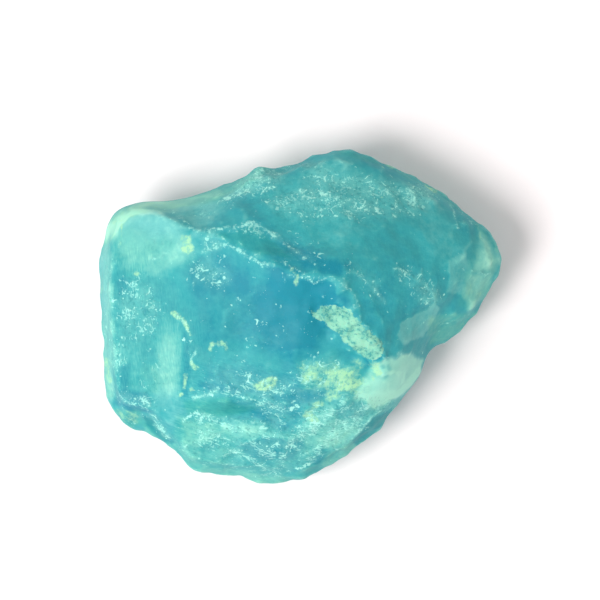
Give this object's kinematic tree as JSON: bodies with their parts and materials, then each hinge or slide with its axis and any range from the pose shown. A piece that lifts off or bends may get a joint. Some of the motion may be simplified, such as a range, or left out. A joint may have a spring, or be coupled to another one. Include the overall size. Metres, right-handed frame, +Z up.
{
  "type": "celestite specimen",
  "caption": "Rough, unpolished chunk of blue-green celestite with broken faces, a sharp crest, a porous crusted step and a flat cleavage face to rest on.",
  "frame": {"origin": "middle of the stone's outline seen from above, on the plane of its flat resting face", "axes": "+X along the length, towards the pointed tip; +Y across, towards the long dark face; +Z up from the resting face to the crest"},
  "size_m": [0.0601, 0.0501, 0.027],
  "materials": {
    "celestite": "broken, unpolished, translucent blue-green with a pale frosted skin, fine pale flecks and a yellow-green crust"
  },
  "bodies": {
    "root": {"celestite_chunk": "celestite"}
  },
  "joints": []
}
